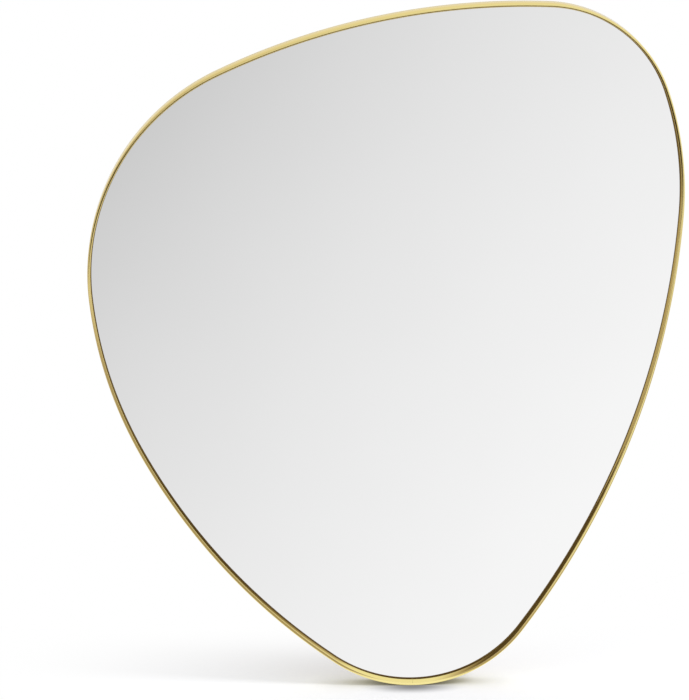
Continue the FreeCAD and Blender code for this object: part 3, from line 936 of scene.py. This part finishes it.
@dataclass(frozen=True)
class Studio:
    """A white floor under a pale sky, with one soft sun. Lengths are metres and angles degrees.

    What the glass shows is paler than what the brushed metal shows, because the metal keeps the dark front of
    the studio that gives it its lines.
    """

    floor_reach: float = 60.0
    floor_colour: str = "#e8e9ec"
    # The part's shadow fades out over these spans to the left and behind, and past them the floor is all
    # glow; inside them it is lit, with only this much glow
    floor_lift: float = 0.23
    shadow_left: tuple[float, float] = (-0.55, -0.03)
    shadow_behind: tuple[float, float] = (0.235, -0.035)
    # The painted shade where the part comes close to the floor, from ambient occlusion: how far off it
    # starts, how fast and how deep it grows
    contact_reach: float = 0.045
    contact_power: float = 1.7
    contact_depth: float = 0.85
    # Close in front of the foot a painted shadow makes the floor darker still: its middle, half widths and
    # least tone
    painted_shadow_middle: tuple[float, float] = (0.022, -0.039)
    painted_shadow_reach: tuple[float, float] = (0.075, 0.031)
    painted_shadow_least: float = 0.3
    # The floor in the glass turns grey to the front and the left: its level, then slope and bend each way
    glass_level: float = 0.955
    glass_across: tuple[float, float] = (0.240, -0.063)
    glass_along: tuple[float, float] = (0.064, 0.003)
    glass_least: float = 0.5
    glass_sky: str = "#f3f3f3"
    # What the metal shows is dark in front, and brighter over these spans, each up to its level
    metal_dark: float = 0.04
    foot_glow: tuple[float, float] = (-0.14, -0.06)
    near_lean: float = 0.55
    near_span: tuple[float, float] = (-3.2, -2.8)
    near_bright: float = 0.8
    near_fall: tuple[float, float] = (-2.8, -2.0)
    near_level: float = 0.42
    far_lean: float = 0.2
    far_span: tuple[float, float] = (-4.5, -5.8)
    far_level: float = 0.8
    far_left: tuple[float, float] = (-1.0, -4.0)
    far_left_level: float = 0.24
    side_lean: float = 0.35
    right_span: tuple[float, float] = (-0.4, 0.1)
    left_span: tuple[float, float] = (0.1, 0.45)
    beside_lean: float = 0.9
    beside_span: tuple[float, float] = (-0.5, 0.15)
    beside_level: float = 0.3
    # To the sides and behind it is plain, with the sky's tones
    plain_lean: float = 0.6
    plain_span: tuple[float, float] = (0.6, 1.4)
    plain_across: tuple[float, float] = (0.0, 3.0)
    # The sky in the metal is dark low in front: its lean, where it turns bright, and its tones across
    sky_lean: float = 0.3
    sky_span: tuple[float, float] = (-0.02, 0.14)
    sky_across: tuple[float, float] = (-0.7, 0.1)
    sky_levels: tuple[float, float] = (0.6, 0.9)
    # The same by way of the glass, for rays that have bounced more often than this
    once_bounces: float = 1.5
    twice_left: tuple[float, float] = (-0.7, -1.4)
    twice_level: float = 0.5
    twice_floor: float = 0.16
    twice_across: tuple[float, float] = (-0.45, -0.05)
    twice_up: tuple[float, float] = (0.1, 0.4)
    twice_dark: float = 0.1
    twice_sky: float = 1.0
    # The dark tones are warmer than the bright ones: powers of the tone in red, green and blue
    warmth: tuple[float, float, float] = (1.0, 1.12, 1.38)
    # The darker tones are a little rosy too: green's share, and the tones between which it comes back
    rosy_green: float = 0.925
    rosy_span: tuple[float, float] = (0.5, 1.0)
    sky_light: str = "#dfdfdf"
    sun_strength: float = 1.3
    sun_angle: float = 14.0
    sun_turn: float = 20.0
    sun_height: float = 42.0

    def reflected(self, tree: bpy.types.NodeTree, path: bpy.types.Node, glass: bpy.types.Node | tuple,
                  once: bpy.types.Node, twice: bpy.types.Node) -> bpy.types.Node:
        """Adds the choice between what the glass and the metal show.

        Args:
            tree: The node tree.
            path: Its light path node.
            glass: The tone in the glass.
            once: The tone in the metal.
            twice: The tone in the metal by way of the glass.

        Returns:
            The colour.
        """
        add = partial(add_node, tree)
        again = add("Math", {"operation": "GREATER_THAN"}, (path.outputs["Glossy Depth"], self.once_bounces))
        first = add("Math", {"operation": "SUBTRACT"}, (1.0, again))
        sharp = add("Math", {"operation": "MULTIPLY"}, (first, path.outputs["Is Singular Ray"]))
        metal = add("Mix", inputs={"Factor": again, "A": once, "B": twice})
        red, green, blue = (add("Math", {"operation": "POWER"}, (metal, power)) for power in self.warmth)
        rosy = add("MapRange", SMOOTH_STEP, (metal, *self.rosy_span, self.rosy_green, 1.0))
        green = add("Math", {"operation": "MULTIPLY"}, (green, rosy))
        warm = add("CombineColor", inputs=(red, green, blue))
        return add("Mix", COLOURS, {"Factor": sharp, "A": warm, "B": glass})

    def reflected_floor(self, tree: bpy.types.NodeTree, path: bpy.types.Node,
                        axes: bpy.types.Node) -> bpy.types.Node:
        """Adds the floor's colour in the glass and in the metal.

        Args:
            tree: The floor's node tree.
            path: Its light path node.
            axes: The place on the floor, as three numbers.

        Returns:
            The colour.
        """
        add = partial(add_node, tree)
        x, y = axes.outputs["X"], axes.outputs["Y"]
        glass = self.glass_level
        for value, (slope, bend) in ((x, self.glass_across), (y, self.glass_along)):
            rate = add("Math", {"operation": "MULTIPLY_ADD"}, (value, bend, slope))
            glass = add("Math", {"operation": "MULTIPLY_ADD"}, (value, rate, glass))
        glass = add("Math", {"operation": "MAXIMUM"}, (glass, self.glass_least))

        # The metal's dark front, with the glow at the foot, a near and a far band and the two sides
        glow = add("MapRange", SMOOTH_STEP, (y, *self.foot_glow, self.metal_dark, 1.0))
        lean = add("Math", {"operation": "MULTIPLY_ADD"}, (x, self.near_lean, y))
        rise = add("MapRange", SMOOTH_STEP, (lean, *self.near_span, self.metal_dark, self.near_bright))
        fall = add("MapRange", SMOOTH_STEP, (lean, *self.near_fall, self.near_bright, self.near_level))
        near = add("Math", {"operation": "MINIMUM"}, (rise, fall))
        once = add("Math", {"operation": "MAXIMUM"}, (glow, near))
        lean = add("Math", {"operation": "MULTIPLY_ADD"}, (x, self.far_lean, y))
        level = add("MapRange", SMOOTH_STEP, (x, *self.far_left, self.far_level, self.far_left_level))
        far = add("MapRange", SMOOTH_STEP, (lean, *self.far_span, self.metal_dark, level))
        once = add("Math", {"operation": "MAXIMUM"}, (once, far))
        aside = add("Math", {"operation": "ABSOLUTE"}, (x,))
        lean = add("Math", {"operation": "MULTIPLY_ADD"}, (y, self.beside_lean, aside))
        level = add("MapRange", SMOOTH_STEP, (lean, *self.beside_span, 1.0, self.beside_level))
        slant = add("Math", {"operation": "MULTIPLY"}, (y, self.side_lean))
        for sign, span in ((1.0, self.right_span), (-1.0, self.left_span)):
            lean = add("Math", {"operation": "MULTIPLY_ADD"}, (x, sign, slant))
            side = add("MapRange", SMOOTH_STEP, (lean, *span, self.metal_dark, level))
            once = add("Math", {"operation": "MAXIMUM"}, (once, side))

        # Its plain sides and back, and what it shows by way of the glass
        diagonal = add("Math", {"operation": "ADD"}, (x, y))
        plain = add("MapRange", SMOOTH_STEP, (diagonal, *self.plain_across, *self.sky_levels))
        lean = add("Math", {"operation": "MULTIPLY_ADD"}, (y, self.plain_lean, aside))
        share = add("MapRange", SMOOTH_STEP, (lean, *self.plain_span))
        once = add("Mix", inputs={"Factor": share, "A": once, "B": plain})
        left = add("MapRange", SMOOTH_STEP, (x, *self.twice_left, self.twice_floor, self.twice_level))
        twice = add("Math", {"operation": "MAXIMUM"}, (glow, left))
        return self.reflected(tree, path, glass, once, twice)

    def painted_contact_shade(self, tree: bpy.types.NodeTree, place: bpy.types.NodeSocket) -> bpy.types.Node:
        """Adds the painted shade on the floor close to the foot: darkening from ambient occlusion and a
        painted shadow spot in front of it.

        Args:
            tree: The floor's node tree.
            place: The place on the floor.

        Returns:
            The share of the light that is left.
        """
        add = partial(add_node, tree)
        # Painted shade: the floor darkens where ambient occlusion finds the part close by
        open_air = add("AmbientOcclusion", inputs={"Distance": self.contact_reach}).outputs["AO"]
        closed = add("Math", {"operation": "SUBTRACT"}, (1.0, open_air))
        covered = add("Math", {"operation": "POWER"}, (closed, self.contact_power))
        contact = add("Math", {"operation": "MULTIPLY_ADD"}, (covered, -self.contact_depth, 1.0))
        # A painted shadow: a soft ellipse in front of the foot, darkest in its middle
        middle = (*self.painted_shadow_middle, cad_bounds[0][2])
        spot = add("Mapping", {"vector_type": "TEXTURE"},
                   {"Vector": place, "Location": middle, "Scale": (*self.painted_shadow_reach, 1.0)})
        away = add("VectorMath", {"operation": "LENGTH"}, (spot,))
        shade = add("MapRange", SMOOTH_STEP, (away, 0.0, 1.0, self.painted_shadow_least, 1.0))
        return add("Math", {"operation": "MULTIPLY"}, (contact, shade))

    def floor_material(self) -> bpy.types.Material:
        """Makes the floor's material.

        Returns:
            The material, white to the camera, with the part's shadow and a painted shade close to the foot.
        """
        material = new_material("white_studio_floor")
        tree = material.node_tree
        add = partial(add_node, tree)
        path = add("LightPath")
        camera = path.outputs["Is Camera Ray"]
        place = add("NewGeometry").outputs["Position"]
        axes = add("SeparateXYZ", inputs=(place,))

        # Painted shade close to the foot, shown to the camera only
        shade = self.painted_contact_shade(tree, place)
        contact = add("Mix", inputs={"Factor": camera, "A": 1.0, "B": shade})
        shaded = 1.0
        for axis, span in (("X", self.shadow_left), ("Y", self.shadow_behind)):
            fade = add("MapRange", SMOOTH_STEP, (axes.outputs[axis], *span))
            shaded = add("Math", {"operation": "MULTIPLY"}, (fade, shaded))
        lit = add("Math", {"operation": "MULTIPLY"}, (shaded, contact))
        colour = add("Mix", COLOURS, {"Factor": lit, "A": linear(BLACK), "B": linear(self.floor_colour)})
        glow = add("MapRange", inputs=(shaded, 0.0, 1.0, 1.0, self.floor_lift))
        for share in (contact, camera):
            glow = add("Math", {"operation": "MULTIPLY"}, (glow, share))
        diffuse = add("BsdfDiffuse", inputs={"Color": colour})
        floor = add("AddShader", inputs=(diffuse, add("Emission", inputs={"Strength": glow})))
        mirrored = add("Emission", inputs={"Color": self.reflected_floor(tree, path, axes)})
        shown = add("Math", {"operation": "MAXIMUM"},
                    (path.outputs["Is Glossy Ray"], path.outputs["Is Transmission Ray"]))
        add("OutputMaterial", inputs={"Surface": add("MixShader", inputs=(shown, floor, mirrored))})
        return material

    def lay_floor(self) -> None:
        """Lays the floor under the part's lowest point."""
        height = cad_bounds[0][2]
        corners = [(x * self.floor_reach, y * self.floor_reach, height)
                   for x, y in ((-1, -1), (1, -1), (1, 1), (-1, 1))]
        mesh = bpy.data.meshes.new("floor")
        mesh.from_pydata(corners, [], [range(len(corners))])
        mesh.materials.append(self.floor_material())
        floor = bpy.data.objects.new("floor", mesh)
        bpy.context.scene.collection.objects.link(floor)

    def hang_sky(self) -> None:
        """Makes the sky: white to the camera, pale in the glass, and in the metal dark low in front."""
        world = bpy.data.worlds.new("studio_sky")
        world.use_nodes = True
        tree = world.node_tree
        tree.nodes.clear()
        add = partial(add_node, tree)
        path = add("LightPath")
        axes = add("SeparateXYZ", inputs=(add("TexCoord").outputs["Generated"],))
        x, y, z = (axes.outputs[axis] for axis in "XYZ")
        lean = add("Math", {"operation": "MULTIPLY_ADD"}, (x, self.sky_lean, z))
        # Y runs from -1 straight in front to 1 straight behind
        behind = add("Math", {"operation": "ADD"}, (y, 1.0))
        lean = add("Math", {"operation": "ADD"}, (lean, behind))
        level = add("MapRange", SMOOTH_STEP, (x, *self.sky_across, *self.sky_levels))
        once = add("MapRange", SMOOTH_STEP, (lean, *self.sky_span, self.metal_dark, level))
        across = add("MapRange", SMOOTH_STEP, (x, *self.twice_across))
        up = add("MapRange", SMOOTH_STEP, (z, *self.twice_up))
        share = add("Math", {"operation": "MULTIPLY"}, (across, up))
        twice = add("Mix", inputs={"Factor": share, "A": self.twice_dark, "B": self.twice_sky})
        shown = self.reflected(tree, path, linear(self.glass_sky), once, twice)
        sky = add("Mix", COLOURS, {"Factor": path.outputs["Is Camera Ray"], "A": linear(self.sky_light),
                                   "B": linear(WHITE)})
        sky = add("Mix", COLOURS, {"Factor": path.outputs["Is Glossy Ray"], "A": sky, "B": shown})
        add("OutputWorld", inputs={"Surface": add("Background", inputs={"Color": sky})})
        bpy.context.scene.world = world

    def hang_sun(self) -> None:
        """Hangs the sun to the right and a little in front of the mirror."""
        turn, height = math.radians(self.sun_turn), math.radians(self.sun_height)
        level = math.cos(height)
        towards = Vector((math.cos(turn) * level, -math.sin(turn) * level, math.sin(height)))
        data = bpy.data.lights.new("sun", "SUN")
        data.energy = self.sun_strength
        data.angle = math.radians(self.sun_angle)
        sun = bpy.data.objects.new("sun", data)
        sun.visible_glossy = False
        sun.rotation_euler = (-towards).to_track_quat("-Z", "Y").to_euler()
        bpy.context.scene.collection.objects.link(sun)

    def build(self) -> None:
        """Sets up the floor, the sky and the sun."""
        self.lay_floor()
        self.hang_sky()
        self.hang_sun()
        bpy.context.scene.view_settings.view_transform = "Standard"


def main() -> None:
    """Builds the mirror's looks in order and reports each piece."""
    logging.basicConfig(level=logging.INFO, format="%(message)s")
    outline = PebbleOutline()
    sizes = ScrewSizes()
    joint = RimJoint(outline)
    hangers = Hangers()

    made = [Rim(outline, sizes, joint.places())]
    for name, owner in (("joint_screw", joint), ("hanger_screw", hangers)):
        made.append(ScrewSet(f"{name}_set", f"{name}s", sizes, owner.places(), owner.screw_length,
                             owner.screw_clocking))
    for assembly in made:
        assembly.build()
    for assembly in (*made, joint, hangers, GlassStack(), BackFittings()):
        for piece, finish in assembly.dress().items():
            LOG.info("%s: %s", piece, finish)

    Studio().build()
    Viewpoint().place()


if __name__ == "__main__":
    main()
